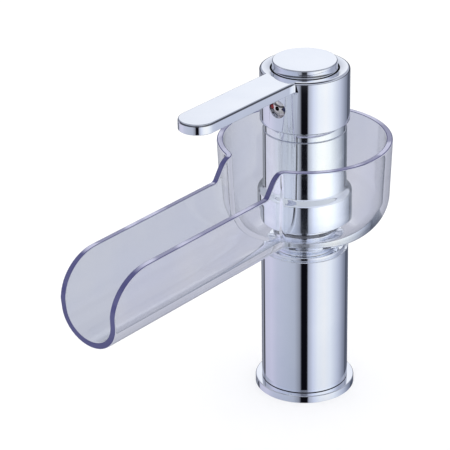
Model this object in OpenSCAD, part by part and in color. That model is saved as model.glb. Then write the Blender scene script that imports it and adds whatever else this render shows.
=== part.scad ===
// Basin mixer with an open spout. A clear trough is clamped between a lower and an upper body, and
// a lever on a ceramic disc cartridge sets the flow and the mix. The spout and the lever point along
// -Y. The origin is the centre of the base, in the plane of the deck that the mixer stands on.

/* [Base] */
// How far the base flange stands out past the lower body
flange_rim = 3.5; // [2.5:0.5:8]
// Thickness of the base flange
flange_t = 4.1; // [3.6:0.1:6]
// Chamfer on the flange's upper edge
flange_edge = 0.5; // [0.2:0.1:1.5]
// Width of the base seal in the flange's underside
seal_w = 2.4; // [1.6:0.1:2.8]
// Depth of the base seal
seal_t = 1.6; // [1:0.1:2.2]
// Depth of the lower body's spigot in the flange
spigot_h = 2.6; // [2:0.1:3]
// How much smaller than the lower body its spigot is, in radius
spigot_set = 1.2; // [0.8:0.1:1.5]
// Thickness of the foot plate, which takes the studs and the hoses
plate_t = 14; // [13:0.5:20]
// Distance between the two fixing studs
stud_pitch = 24; // [22:0.5:28]
// Radius of a stud's threaded hole
stud_r = 2.5; // [2:0.1:3]
// Distance between the hot and the cold inlet
inlet_pitch = 13; // [12:0.5:14]
// Radius of an inlet's threaded hole
inlet_r = 4.5; // [4:0.1:4.8]
// Length of an inlet's thread
inlet_l = 7; // [5:0.5:7.5]
// Wall between an inlet's thread and the socket of its tube
inlet_web = 2; // [1:0.5:3]

/* [Lower body] */
// Radius of the lower body
body_r = 23; // [22.5:0.5:27]
// Wall of the lower body
body_wall = 2.4; // [2:0.1:3]
// Height of the lower body above the flange
lower_h = 77.7; // [60:0.1:120]
// Chamfer on the lower body's upper edge
body_edge = 0.5; // [0.2:0.1:0.9]
// Thickness of the lower body's roof
roof_t = 4; // [3:0.5:6]
// How much smaller than the lower body the step on its roof is, in radius
step_set = 1.5; // [1:0.1:2.5]
// Height of the step on the roof
step_h = 1.9; // [1:0.1:3]
// Radius of the neck under the trough
neck_r = 15; // [14.4:0.1:16.5]
// Height of the neck and its seat
neck_h = 5.7; // [4.5:0.1:10]
// Radius of the seat that carries the trough
seat_r = 18; // [17.5:0.1:19.5]
// Thickness of that seat
seat_t = 2; // [1.5:0.1:3]
// Bore of the threaded hub that passes through the trough
hub_bore = 11.6; // [11.3:0.1:11.9]
// Wall of the hub
hub_wall = 1.3; // [1.1:0.1:1.6]
// Radius of a supply tube
tube_r = 4.2; // [3.8:0.1:4.4]
// Wall of a supply tube
tube_wall = 0.9; // [0.6:0.1:1.2]
// Thickness and height of the seal ring at each end of a tube
ring_seal_t = 1; // [0.7:0.1:1.1]

/* [Trough] */
// Outer radius of the bowl at its rim
bowl_r = 45.5; // [43:0.5:55]
// How much the bowl's wall draws in down to its rounded corner
bowl_draft = 1.2; // [0:0.1:2.5]
// How far the bowl's flat floor stands out past the outlet ring
floor_rim = 3.8; // [2.5:0.1:7]
// Height of the bowl
bowl_h = 51.9; // [48:0.1:60]
// Wall of the trough
trough_wall = 3.4; // [2.6:0.1:4.4]
// Outer width of the channel at its rim
channel_w = 36.6; // [32:0.2:42]
// How much each side of the channel draws in down to its round bottom
channel_draft = 1.1; // [0:0.1:2.5]
// Height of the channel
channel_h = 41.3; // [34:0.1:44]
// How far the channel's bottom lies below the bowl's
channel_drop = 0.3; // [0.1:0.1:0.8]
// Reach of the channel's tip from the axis
spout_reach = 167.4; // [130:0.1:220]
// Length of the tip's rounding
tip_l = 24.2; // [15:0.1:40]
// Height of the tip's rounding
tip_h = 20.6; // [12:0.1:24]
// How far the tip leans back below its rounding
tip_rake = 1.6; // [0:0.1:4]
// How far behind the bowl's front its rim begins to fall
crest_set = 5.5; // [2:0.1:8]
// Radius at the top of the rim's fall
crest_r = 10; // [6:0.5:11]
// Radius at the foot of the rim's fall
foot_r = 3; // [1.5:0.5:5]
// Slope of the rim's fall
rim_slope = 54; // [42:1:60]
// Clearance of the trough's hole round the hub
hole_fit = 0.2; // [0.1:0.05:0.4]
// Thickness of the gasket under the trough
gasket_t = 1.6; // [1:0.1:3]
// How far inside the seat's edge that gasket ends
gasket_set = 0.5; // [0.2:0.1:1.5]
// Thickness of the gasket on the trough's floor
pad_t = 1; // [0.6:0.1:1.4]
// Width of the gasket on the trough's floor
pad_w = 3.4; // [2.4:0.1:4]

/* [Outlet ring] */
// Height of the outlet ring on the trough's floor
outlet_h = 4.4; // [4.2:0.1:6]
// Radius of the outlet ring
outlet_r = 18.5; // [18:0.1:19.5]
// Number of water slots in the outlet ring
slot_count = 8; // [6:1:10]
// Width of a water slot
slot_w = 3.6; // [2.8:0.1:4.4]
// Height of a water slot
slot_h = 2.6; // [1.5:0.1:2.7]
// Radius of a drain hole from the upper body to the slots
drain_r = 1.2; // [0.9:0.1:1.3]
// Depth of the ring gallery over the drain holes
gallery_h = 2.4; // [1.6:0.1:3]
// Radius of the manifold's passages from its outlet to the gallery
cross_r = 1.6; // [1.2:0.1:1.8]

/* [Upper body] */
// Radius of the cartridge
cartridge_r = 17.5; // [17.4:0.1:18.4]
// Wall of the upper body round the cartridge
upper_wall = 4.25; // [4:0.05:5]
// Height of the upper body
upper_h = 50.2; // [49.5:0.1:65]
// Thickness of its floor
upper_floor = 5.2; // [4.2:0.1:5.8]
// Chamfer on its upper edge
upper_edge = 0.6; // [0.3:0.1:0.8]
// How far the collar at its foot stands out
collar_rim = 2.85; // [1.6:0.05:5]
// Height of the collar
collar_h = 15.7; // [10:0.1:20]
// Height of the rounded shoulder above the collar
shoulder_h = 3.7; // [2.5:0.1:6]
// Depth of the retaining nut's thread outside the cartridge's bore
thread_d = 1.2; // [0.8:0.1:1.6]
// Length of that thread in the upper body
thread_l = 8; // [6:0.5:10]
// How much smaller than the upper body the dress ring is, in radius
ring_set = 0.4; // [0.2:0.1:0.9]
// Wall of the dress ring
ring_wall = 1.2; // [0.8:0.1:1.4]
// Gap between the dress ring and the handle's skirt above it
ring_gap = 0.7; // [0.5:0.1:1.2]

/* [Cartridge] */
// Thickness of the cartridge's base
cart_base_t = 4; // [3.5:0.1:4.6]
// Thickness of each ceramic disc
disc_t = 4; // [3.6:0.1:4.3]
// Radius of the fixed disc
fixed_disc_r = 14.7; // [14.2:0.1:14.9]
// Radius of the moving disc and its carrier
moving_disc_r = 12.2; // [11.8:0.1:12.3]
// Radius of a water port
port_r = 3; // [2.4:0.1:3.1]
// Distance of the outlet port behind the axis
outlet_y = 8.6; // [8.4:0.1:9]
// Land that the closed moving disc leaves between a port and its pocket
port_land = 1.2; // [0.6:0.1:1.6]
// Wall round the moving disc's pocket
pocket_wall = 1.5; // [1:0.1:2.2]
// Distance of a locating peg from the middle
locate_x = 5.2; // [4.6:0.1:6]
// Distance of the base's locating pegs in front of the axis
locate_y = 8.6; // [8:0.1:9.6]
// Radius of a locating peg
locate_r = 1.4; // [1:0.1:1.6]
// Length of a locating peg
locate_l = 2.2; // [1.6:0.1:3]
// Thickness of the disc carrier
carrier_t = 7.7; // [7.2:0.1:8.2]
// Thickness of the rotor's flange
rotor_flange_t = 5; // [4:0.1:5.5]
// Height of the lever's pivot above that flange
pivot_up = 6; // [5.4:0.1:6.6]
// Radius of the rotor's neck
rotor_r = 10; // [9.6:0.1:10.4]
// Distance between the rotor's two lugs, which guide the carrier
guide_w = 17; // [15:0.2:18]
// Thickness of such a lug
guide_t = 2.5; // [1.8:0.1:3]
// Side wall of the cartridge housing
housing_wall = 2.15; // [1.9:0.05:2.2]
// Thickness of the housing's shoulder
shoulder_t = 2.2; // [1.8:0.1:2.8]
// Wall of the housing's neck round the rotor
housing_neck_wall = 1.95; // [1.5:0.05:2.2]
// Height of the housing's neck above the pivot
housing_up = 5.5; // [5:0.1:6]
// How far the rotor stands out of the housing's neck
rotor_up = 1; // [0.5:0.1:1.5]
// Radius of the pivot pin
pin_r = 1.5; // [1.2:0.1:1.6]

/* [Stem] */
// Width of the square stem
stem_w = 8; // [7:0.1:8.4]
// Length of the stem above its pivot
stem_l = 27; // [24.5:0.1:27.4]
// Radius of the round boss at the stem's pivot
boss_r = 4.6; // [4.3:0.1:4.9]
// Distance from the pivot to the centre of the stem's ball
arm_l = 14.5; // [14.2:0.1:14.8]
// Radius of the arm that carries the ball
arm_r = 2.2; // [1.8:0.1:2.5]
// Radius of the stem's ball
ball_r = 3; // [2.8:0.1:3.1]
// How far the lever lifts
lift_deg = 20; // [16:1:21]

/* [Handle] */
// Gap between the upper body and the handle's skirt
handle_gap = 5.1; // [4.8:0.1:5.6]
// Height of the handle, from its skirt's edge to the lever's top
handle_h = 28.2; // [28:0.1:34]
// Wall of the handle's skirt
skirt_wall = 1.53; // [1.2:0.01:2.2]
// Room between the lifted skirt and the upper body
lift_clear = 0.35; // [0.3:0.05:0.8]
// Chamfer on the handle's upper edge
handle_edge = 0.6; // [0.3:0.1:1]
// How far the handle's top rises towards the cap
top_rise = 0.6; // [0.1:0.1:1]
// Thickness of the web under the cap
web_t = 2; // [1.6:0.1:2.4]
// Depth of the cap's recess below the lever's top
recess_d = 3.8; // [3:0.1:4]
// Width of the lever
lever_w = 19.6; // [16:0.2:26]
// Thickness of the lever
lever_t = 5.3; // [4:0.1:5.6]
// Reach of the lever's tip from the axis
lever_reach = 94.4; // [70:0.1:120]
// Radius of the cap's flat top
cap_r = 16.1; // [15:0.1:17]
// How much wider the cap is at its foot, in radius
cap_flare = 1.4; // [0.3:0.1:1.6]
// Height of the cap above the handle's top
cap_rise = 3.3; // [2:0.1:6]
// Width of the groove round the cap
cap_groove = 0.2; // [0.1:0.05:0.5]
// Radius of a peg under the cap
peg_r = 1.4; // [1:0.1:1.5]
// Radius of the round hub on the stem
socket_r = 8; // [7.6:0.1:8.4]
// Height of that hub's end above the rotor
socket_gap = 4.6; // [4:0.1:5]
// Radius of the index plug
plug_r = 4.95; // [4.4:0.05:5.2]
// Distance of the plug's centre below the lever's top
plug_drop = 15.8; // [15:0.1:17]
// Length of the plug along its rim
plug_l = 3.4; // [2.5:0.1:4]
// How far the plug's dome rises above its rim
plug_dome = 1.2; // [0.6:0.1:1.3]
// How far the plug's rim lies behind the skirt's surface
plug_set = 1.9; // [1.6:0.1:2.2]
// Radius of the hole in the plug's centre
plug_hole_r = 1.2; // [0.8:0.1:1.5]
// Radius of a colour mark on the plug
mark_r = 1.1; // [0.8:0.1:1.2]
// Distance of a colour mark from the plug's rim
mark_edge = 0.25; // [0.15:0.05:0.6]
// Radius of the grub screw
screw_r = 2; // [1.5:0.1:2.2]
// Length of the grub screw
screw_l = 8; // [6:0.5:8.5]

/* [Hidden] */
$fn = 96;

// Clearance of a fitted or threaded joint, and of a face that slides
fit = 0.05;
slide = 0.1;
// Film between the ceramic discs, and the free height over a turning piece
film = 0.02;
run = 0.3;
// Overrun of every cut
over = 1;
// Straight pieces in a drawn arc
arc_steps = 8;
// Height of the ring seals' grooves beyond the rings, and their wall to the socket's end
seal_play = 0.1;

// Levels from the deck up
lower_top = flange_t + lower_h;
step_top = lower_top + step_h;
seat_top = step_top + neck_h;
trough_z = seat_top + gasket_t;
floor_z = trough_z + trough_wall;
upper_z = floor_z + outlet_h;
hub_top = upper_z + upper_floor;
upper_top = upper_z + upper_h;
rim_z = trough_z + bowl_h;
channel_z = trough_z - channel_drop;
channel_rim_z = channel_z + channel_h;
skirt_z = upper_top + handle_gap;
handle_top = skirt_z + handle_h;
cap_seat_z = handle_top - recess_d;
web_z = cap_seat_z - web_t;

// Base and lower body
flange_r = body_r + flange_rim;
spigot_r = body_r - spigot_set;
spigot_z = flange_t - spigot_h;
inner_r = body_r - body_wall;
step_r = body_r - step_set;
hub_r = hub_bore + hub_wall;
plate_r = inner_r - fit;
seal_mid_r = (spigot_r + fit + flange_r) / 2;
socket_bore_r = tube_r + fit;
ring_seal_r = tube_r + ring_seal_t;
tube_bore_r = tube_r - tube_wall;
plate_socket_z = inlet_l + inlet_web;
plate_seal_z = (plate_socket_z + plate_t) / 2;

// Trough
bowl_side_r = bowl_r - bowl_draft;
bowl_flat_r = outlet_r + floor_rim;
bowl_corner = bowl_side_r - bowl_flat_r;
channel_r = channel_w / 2 - channel_draft;
channel_y = (seat_r + bowl_flat_r) / 2;
crest_y = bowl_r - crest_set;
fall_h = rim_z - channel_rim_z;
fall_run = (fall_h - (crest_r + foot_r) * (1 - cos(rim_slope))) / tan(rim_slope);
fall_y = crest_y + (crest_r + foot_r) * sin(rim_slope) + fall_run;
tip_y = spout_reach - tip_l;
tip_z = channel_rim_z - tip_h;

// Upper body and outlet ring
bore_r = cartridge_r + fit;
upper_r = bore_r + upper_wall;
collar_r = upper_r + collar_rim;
thread_r = bore_r + thread_d;
ring_r = upper_r - ring_set;
ring_top = skirt_z - ring_gap;
hub_hole_r = hub_r + fit;
clear_hub_r = hub_r + hole_fit;
drain_mid_r = (hub_hole_r + bore_r) / 2;
gallery_half = drain_r + run;

// Cartridge, from the pivot down
pivot_z = upper_top;
lean = lift_deg / 2;
flange_top_z = pivot_z - pivot_up;
flange_z = flange_top_z - rotor_flange_t;
carrier_top_z = flange_z - run;
carrier_z = carrier_top_z - carrier_t;
moving_z = carrier_z - disc_t;
fixed_top_z = moving_z - film;
fixed_z = fixed_top_z - disc_t;
cart_z = fixed_z - cart_base_t;
housing_r = cartridge_r;
chamber_r = housing_r - housing_wall;
shoulder_z = flange_top_z + run;
shoulder_top_z = shoulder_z + shoulder_t;
housing_bore_r = rotor_r + fit;
housing_neck_r = housing_bore_r + housing_neck_wall;
housing_top = pivot_z + housing_up;
rotor_top = housing_top + rotor_up;
nut_r = thread_r - fit;
nut_bore_r = housing_neck_r + slide;
nut_top = ring_top - ring_wall - run;
half_travel = arm_l * sin(lean);
slot_half_x = stem_w / 2 + slide;
slot_half_y = stem_w / 2 / cos(lean) + (rotor_top - pivot_z) * tan(lean) + 2 * run;
lug_x = guide_w / 2;
lug_h = carrier_t - 2 * run;
port_half = inlet_pitch / 2;
seal_seat_r = port_r + ring_seal_t + run;
pin_l = 2 * rotor_r - 2 * run;
manifold_h = cart_z - hub_top;
manifold_socket_l = plate_t - plate_socket_z;
cross_z = hub_top + manifold_h / 2;

// Handle: its skirt just clears the upper body when the lever is up
skirt_in_r = (upper_r + lift_clear - handle_gap * sin(lift_deg)) / cos(lift_deg);
handle_r = skirt_in_r + skirt_wall;
cap_foot_r = cap_r + cap_flare;
cap_top = handle_top + top_rise + cap_rise;
recess_r = cap_foot_r + cap_groove;
socket_z = rotor_top + socket_gap;
plug_z = handle_top - plug_drop;
plug_face_y = -(handle_r - plug_set);
plug_bore_r = plug_r + fit;
rib_half = plug_bore_r + skirt_wall;
plug_end_y = plug_face_y + plug_l;
peg_mid_r = (socket_r + recess_r) / 2;
screw_up = -plug_face_y * sin(lean) + (plug_z - pivot_z) * cos(lean);
mark_x = plug_r - mark_r - mark_edge;

// Points of an arc about a centre, in a plane
function arc(cx, cy, r, from, to, steps = arc_steps) =
    [for (i = [0:steps]) let (a = from + (to - from) * i / steps) [cx + r * cos(a), cy + r * sin(a)]];

// A flat ring or tube that stands on z
module ring(r_out, r_in, z, h) {
    translate([0, 0, z])
        difference() {
            cylinder(r = r_out, h = h);
            translate([0, 0, -over]) cylinder(r = r_in, h = h + 2 * over);
        }
}

// A hole of radius r from z to z + h, at x, y
module hole(x, y, r, z, h) {
    translate([x, y, z]) cylinder(r = r, h = h);
}

// Its children at the hot and the cold port
module at_ports() {
    for (side = [-1, 1]) translate([side * port_half, 0, 0]) children();
}

// Its children in the frame of the stem, which leans forward by half the lift
module on_stem() {
    translate([0, 0, pivot_z]) rotate([lean, 0, 0]) children();
}

// Turned trim ring that the lower body stands in
module base_flange() {
    color([0.8, 0.81, 0.86])
        rotate_extrude()
            difference() {
                polygon([[plate_r + fit, 0], [flange_r, 0], [flange_r, flange_t - flange_edge],
                    [flange_r - flange_edge, flange_t], [plate_r + fit, flange_t]]);
                translate([0, spigot_z]) square([spigot_r + fit, flange_t]);
                translate([seal_mid_r - seal_w / 2 - fit, -over])
                    square([seal_w + 2 * fit, seal_t + over]);
            }
}

// Square-section rubber ring in the flange's underside
module base_seal() {
    color([0.12, 0.12, 0.13]) ring(seal_mid_r + seal_w / 2, seal_mid_r - seal_w / 2, 0, seal_t);
}

// Brass plate in the lower body's foot, with the stud holes and the inlets
module foot_plate() {
    color([0.78, 0.66, 0.4])
        difference() {
            cylinder(r = plate_r, h = plate_t);
            for (side = [-1, 1]) hole(0, side * stud_pitch / 2, stud_r, -over, plate_t + 2 * over);
            at_ports() {
                hole(0, 0, inlet_r, -over, inlet_l + over);
                hole(0, 0, tube_bore_r, -over, plate_t);
                hole(0, 0, socket_bore_r, plate_socket_z, plate_t);
                hole(0, 0, ring_seal_r + fit, plate_seal_z - ring_seal_t / 2 - seal_play / 2,
                    ring_seal_t + seal_play);
            }
        }
}

// Chromed body: a tube with a roof, a neck, the trough's seat and a threaded hub
module lower_body() {
    color([0.8, 0.81, 0.86])
        rotate_extrude()
            polygon([[inner_r, spigot_z], [spigot_r, spigot_z], [spigot_r, flange_t],
                [body_r, flange_t], [body_r, lower_top - body_edge],
                [body_r - body_edge, lower_top], [step_r, lower_top], [step_r, step_top],
                [neck_r, step_top], [neck_r, seat_top - seat_t], [seat_r, seat_top - seat_t],
                [seat_r, seat_top], [hub_r, seat_top], [hub_r, hub_top], [hub_bore, hub_top],
                [hub_bore, lower_top - roof_t], [inner_r, lower_top - roof_t]]);
}

// Copper tube from an inlet up to the manifold
module supply_tube(side) {
    color([0.78, 0.5, 0.34])
        translate([side * port_half, 0, 0])
            ring(tube_r, tube_bore_r, plate_socket_z, hub_top + manifold_socket_l - plate_socket_z);
}

module hot_tube() { supply_tube(-1); }

module cold_tube() { supply_tube(1); }

// Four ring seals, one at each end of each tube
module tube_seals() {
    color([0.12, 0.12, 0.13])
        at_ports()
            for (z = [plate_seal_z, hub_top + manifold_socket_l / 2])
                ring(ring_seal_r, tube_r + fit / 2, z - ring_seal_t / 2, ring_seal_t);
}

// Clear rubber ring between the seat and the trough
module lower_gasket() {
    color([0.86, 0.87, 0.88]) ring(seat_r - gasket_set, clear_hub_r, seat_top, gasket_t);
}

// Side view of the trough, as a sheet across X: the rim, its fall, the channel's rim and the tip
module trough_side() {
    side = concat(
        [[bowl_r + over, channel_z - over], [bowl_r + over, rim_z], [-crest_y, rim_z]],
        arc(-crest_y, rim_z - crest_r, crest_r, 90, 90 + rim_slope),
        arc(-fall_y, channel_rim_z + foot_r, foot_r, 270 + rim_slope, 270, arc_steps / 2),
        [for (i = [0:2 * arc_steps]) let (a = 90 * i / (2 * arc_steps))
            [-tip_y - tip_l * sin(a), tip_z + tip_h * cos(a)]],
        [[-spout_reach + tip_rake, channel_z - over]]);
    rotate([90, 0, 90]) linear_extrude(height = 2 * (bowl_r + over), center = true) polygon(side);
}

// Solid bowl, drawn in by inset for its inner face
module bowl_form(inset) {
    top_r = bowl_r - inset;
    side_r = bowl_side_r - inset;
    corner = bowl_corner - inset;
    z = trough_z + inset;
    rotate_extrude()
        polygon(concat([[0, z]], arc(side_r - corner, z + corner, corner, -90, 0),
            [[top_r, rim_z], [top_r, rim_z + over], [0, rim_z + over]]));
}

// Solid channel, from y towards its tip and past it
module channel_form(inset, y) {
    r = channel_r - inset;
    half_w = channel_w / 2 - inset;
    z = channel_z + inset + r;
    translate([0, -y, 0])
        rotate([90, 0, 0])
            linear_extrude(height = spout_reach - y + over)
                polygon(concat([[-half_w, channel_rim_z + over]], arc(0, z, r, 180, 360, 3 * arc_steps),
                    [[half_w, channel_rim_z + over]]));
}

// Upper part of the gate from the bowl to the channel, which the fall of the rim trims
module gate_form(inset) {
    half_w = channel_w / 2 - inset;
    translate([-half_w, -fall_y, channel_rim_z])
        cube([2 * half_w, fall_y - channel_y, fall_h + over]);
}

// Clear one-piece trough: a bowl round the upper body that opens into the channel
module trough() {
    color([0.75, 0.75, 0.84, 0.5])
        intersection() {
            difference() {
                union() {
                    bowl_form(0);
                    channel_form(0, channel_y);
                    gate_form(0);
                }
                bowl_form(trough_wall);
                channel_form(trough_wall, channel_y);
                gate_form(trough_wall);
                hole(0, 0, clear_hub_r, channel_z - over, trough_wall + channel_drop + 2 * over);
            }
            trough_side();
        }
}

// Clear rubber ring on the trough's floor, inside the outlet ring's foot
module upper_gasket() {
    color([0.86, 0.87, 0.88]) ring(clear_hub_r + pad_w, clear_hub_r, floor_z, pad_t);
}

// Chromed ring whose slots let the water out under the collar
module outlet_ring() {
    color([0.8, 0.81, 0.86])
        difference() {
            ring(outlet_r, clear_hub_r, floor_z, outlet_h);
            hole(0, 0, clear_hub_r + pad_w + fit, floor_z - over, pad_t + over);
            for (i = [0:slot_count - 1])
                rotate([0, 0, 360 * (i + 1 / 2) / slot_count])
                    translate([clear_hub_r + run, -slot_w / 2, upper_z - slot_h])
                        cube([outlet_r, slot_w, slot_h + over]);
        }
}

// Chromed upper body with its collar, bored for the manifold and the cartridge
module upper_body() {
    shoulder = [for (i = [0:arc_steps]) let (t = i / arc_steps)
        [upper_r + collar_rim * (1 + cos(180 * t)) / 2, upper_z + collar_h + shoulder_h * t]];
    color([0.8, 0.81, 0.86])
        difference() {
            rotate_extrude()
                polygon(concat([[hub_hole_r, upper_z], [collar_r - upper_edge, upper_z],
                    [collar_r, upper_z + upper_edge]], shoulder,
                    [[upper_r, upper_top - upper_edge], [upper_r - upper_edge, upper_top],
                    [thread_r, upper_top], [thread_r, upper_top - thread_l],
                    [bore_r, upper_top - thread_l], [bore_r, hub_top], [hub_hole_r, hub_top]]));
            for (i = [0:slot_count - 1])
                rotate([0, 0, 360 * (i + 1 / 2) / slot_count])
                    hole(drain_mid_r, 0, drain_r, upper_z - over, upper_floor + 2 * over);
        }
}

// Brass manifold under the cartridge: two supplies up, one outlet down to a ring gallery
module manifold() {
    color([0.78, 0.66, 0.4])
        difference() {
            hole(0, 0, cartridge_r, hub_top, manifold_h);
            at_ports() {
                hole(0, 0, socket_bore_r, hub_top - over, manifold_socket_l + over);
                hole(0, 0, port_r, hub_top, manifold_h + over);
                hole(0, 0, ring_seal_r + fit,
                    hub_top + manifold_socket_l / 2 - ring_seal_t / 2 - seal_play / 2,
                    ring_seal_t + seal_play);
            }
            hole(0, outlet_y, port_r, cross_z - cross_r, manifold_h);
            translate([0, outlet_y, cross_z]) rotate([-90, 0, 0]) cylinder(r = cross_r, h = cartridge_r);
            hole(0, drain_mid_r, cross_r, hub_top - over, manifold_h / 2 + over);
            ring(drain_mid_r + gallery_half, drain_mid_r - gallery_half, hub_top - over,
                gallery_h + over);
            for (side = [-1, 1])
                hole(side * locate_x, -locate_y, locate_r + fit, cart_z - locate_l - run, locate_l + over);
        }
}

// Rubber rings round the three ports, in the underside of the cartridge's base
module port_seals() {
    color([0.12, 0.12, 0.13]) {
        at_ports() ring(seal_seat_r - fit, port_r, cart_z, ring_seal_t);
        translate([0, outlet_y, 0]) ring(seal_seat_r - fit, port_r, cart_z, ring_seal_t);
    }
}

// Plastic base of the cartridge, with two locating pegs
module cartridge_base() {
    color([0.9, 0.9, 0.88]) {
        difference() {
            hole(0, 0, housing_r, cart_z, cart_base_t);
            port_cuts(cart_z, cart_base_t);
            at_ports() hole(0, 0, seal_seat_r, cart_z - over, ring_seal_t + over);
            hole(0, outlet_y, seal_seat_r, cart_z - over, ring_seal_t + over);
        }
        for (side = [-1, 1]) hole(side * locate_x, -locate_y, locate_r, cart_z - locate_l, locate_l + run);
    }
}

// The three ports through a layer of the cartridge
module port_cuts(z, h) {
    at_ports() hole(0, 0, port_r, z - over, h + 2 * over);
    hole(0, outlet_y, port_r, z - over, h + 2 * over);
}

// Lapped ceramic disc with the three ports
module fixed_disc() {
    color([0.95, 0.95, 0.93])
        difference() {
            hole(0, 0, fixed_disc_r, fixed_z, disc_t);
            port_cuts(fixed_z, disc_t);
        }
}

// Ceramic disc whose pocket joins the ports as it slides forward; at rest it closes them
module moving_disc() {
    color([0.93, 0.93, 0.9])
        difference() {
            hole(0, half_travel, moving_disc_r, moving_z, disc_t);
            intersection() {
                hole(0, half_travel, moving_disc_r - pocket_wall, moving_z - over, disc_t / 2 + over);
                translate([-moving_disc_r, port_r + port_land, moving_z - over])
                    cube([2 * moving_disc_r, 2 * moving_disc_r, disc_t]);
            }
            for (side = [-1, 1])
                hole(side * locate_x, half_travel, locate_r + fit, carrier_z - disc_t / 3, disc_t);
        }
}

// Plastic carrier on the moving disc, with the socket of the stem's ball and two guided sides
module disc_carrier() {
    side_x = lug_x - slide;
    color([0.25, 0.45, 0.7]) {
        difference() {
            intersection() {
                hole(0, half_travel, moving_disc_r, carrier_z, carrier_t);
                translate([-side_x, half_travel - moving_disc_r - over, carrier_z - over])
                    cube([2 * side_x, 2 * (moving_disc_r + over), carrier_t + 2 * over]);
            }
            hole(0, half_travel, ball_r + fit, pivot_z - arm_l - ball_r - run, carrier_t);
        }
        for (side = [-1, 1])
            hole(side * locate_x, half_travel, locate_r, carrier_z - disc_t / 3 + run, disc_t / 3);
    }
}

// Plastic housing: a chamber for the discs and a neck round the rotor
module cartridge_housing() {
    color([0.9, 0.9, 0.88])
        rotate_extrude()
            polygon([[chamber_r, fixed_z], [housing_r, fixed_z], [housing_r, shoulder_top_z],
                [housing_neck_r, shoulder_top_z], [housing_neck_r, housing_top],
                [housing_bore_r, housing_top], [housing_bore_r, shoulder_z],
                [chamber_r, shoulder_z]]);
}

// Metal rotor that turns with the lever, carries its pin and guides the carrier
module rotor() {
    seal_top = housing_top - run;
    color([0.62, 0.63, 0.66])
        difference() {
            union() {
                hole(0, 0, chamber_r - run, flange_z, rotor_flange_t);
                hole(0, 0, rotor_r, flange_z, rotor_top - flange_z);
                for (side = [0, 180])
                    rotate([0, 0, side])
                        translate([lug_x, -slot_half_y, flange_z - lug_h])
                            cube([guide_t, 2 * slot_half_y, lug_h + over]);
            }
            translate([-slot_half_x, -slot_half_y, flange_z - over])
                cube([2 * slot_half_x, 2 * slot_half_y, rotor_top - flange_z + 2 * over]);
            translate([0, 0, pivot_z]) rotate([0, 90, 0])
                cylinder(r = pin_r, h = 2 * (rotor_r + over), center = true);
            ring(rotor_r + over, rotor_r - ring_seal_t, seal_top - ring_seal_t - seal_play,
                ring_seal_t + seal_play);
        }
}

// Rubber ring that seals the rotor in the housing
module rotor_seal() {
    color([0.12, 0.12, 0.13])
        ring(rotor_r, rotor_r - ring_seal_t + film, housing_top - run - ring_seal_t - seal_play / 2,
            ring_seal_t);
}

// Steel pin that the stem rocks on
module pivot_pin() {
    color([0.7, 0.7, 0.72])
        translate([0, 0, pivot_z]) rotate([0, 90, 0]) cylinder(r = pin_r, h = pin_l, center = true);
}

// Metal stem: a square shank in the handle, a pivot boss and an arm with a ball
module stem() {
    color([0.7, 0.7, 0.72])
        on_stem()
            difference() {
                union() {
                    translate([-stem_w / 2, -stem_w / 2, 0]) cube([stem_w, stem_w, stem_l]);
                    rotate([0, 90, 0]) cylinder(r = boss_r, h = stem_w, center = true);
                    translate([0, 0, -arm_l]) cylinder(r = arm_r, h = arm_l);
                    translate([0, 0, -arm_l]) sphere(r = ball_r);
                }
                rotate([0, 90, 0]) cylinder(r = pin_r + fit, h = stem_w + 2 * over, center = true);
            }
}

// Brass nut that holds the cartridge down, with a hexagon above the thread
module retaining_nut() {
    color([0.78, 0.66, 0.4])
        difference() {
            union() {
                hole(0, 0, nut_r, shoulder_top_z, upper_top - shoulder_top_z);
                translate([0, 0, upper_top - over])
                    cylinder(r = nut_r, h = nut_top - upper_top + over, $fn = 6);
            }
            hole(0, 0, nut_bore_r, shoulder_top_z - over, nut_top);
        }
}

// Chromed ring that covers the nut
module dress_ring() {
    color([0.8, 0.81, 0.86])
        difference() {
            hole(0, 0, ring_r, upper_top, ring_top - upper_top);
            hole(0, 0, ring_r - ring_wall, upper_top - over, ring_top - ring_wall - upper_top + over);
            hole(0, 0, nut_bore_r, upper_top, ring_top);
        }
}

// Solid outline of the handle: the round skirt and top, and the lever
module handle_form() {
    rotate_extrude()
        polygon([[0, skirt_z], [handle_r, skirt_z], [handle_r, handle_top - handle_edge],
            [handle_r - handle_edge, handle_top], [recess_r, handle_top + top_rise],
            [0, handle_top + top_rise]]);
    end_y = lever_reach - lever_w / 2;
    translate([0, 0, handle_top - lever_t])
        linear_extrude(height = lever_t) {
            translate([-lever_w / 2, -end_y]) square([lever_w, end_y]);
            translate([0, -end_y]) circle(r = lever_w / 2);
        }
}

// The hub on the stem and the rib to the skirt's front, up to the web
module handle_core() {
    intersection() {
        union() {
            on_stem() cylinder(r = socket_r, h = handle_top - pivot_z);
            translate([-rib_half, -handle_r, plug_z - rib_half]) cube([2 * rib_half, handle_r, handle_h]);
        }
        hole(0, 0, skirt_in_r + skirt_wall / 2, socket_z, web_z + web_t / 2 - socket_z);
    }
}

// Cast handle with a hollow skirt, the lever, the stem's socket and the plug's bore
module handle() {
    color([0.8, 0.81, 0.86])
        difference() {
            union() {
                difference() {
                    handle_form();
                    hole(0, 0, skirt_in_r, skirt_z - over, web_z - skirt_z + over);
                }
                handle_core();
            }
            hole(0, 0, recess_r, cap_seat_z, recess_d + top_rise + over);
            cap_pegs(peg_r + fit, web_z - over, web_t + 2 * over);
            on_stem() translate([-stem_w / 2 - fit, -stem_w / 2 - fit, 0])
                cube([stem_w + 2 * fit, stem_w + 2 * fit, stem_l + run]);
            translate([0, plug_end_y + run, plug_z]) rotate([90, 0, 0])
                cylinder(r = plug_bore_r, h = handle_r);
            screw_way(screw_r + fit, handle_r);
        }
}

// Three pegs or their holes, clear of the hub
module cap_pegs(r, z, h) {
    for (a = [90, 210, 330]) rotate([0, 0, a]) hole(peg_mid_r, 0, r, z, h);
}

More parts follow.
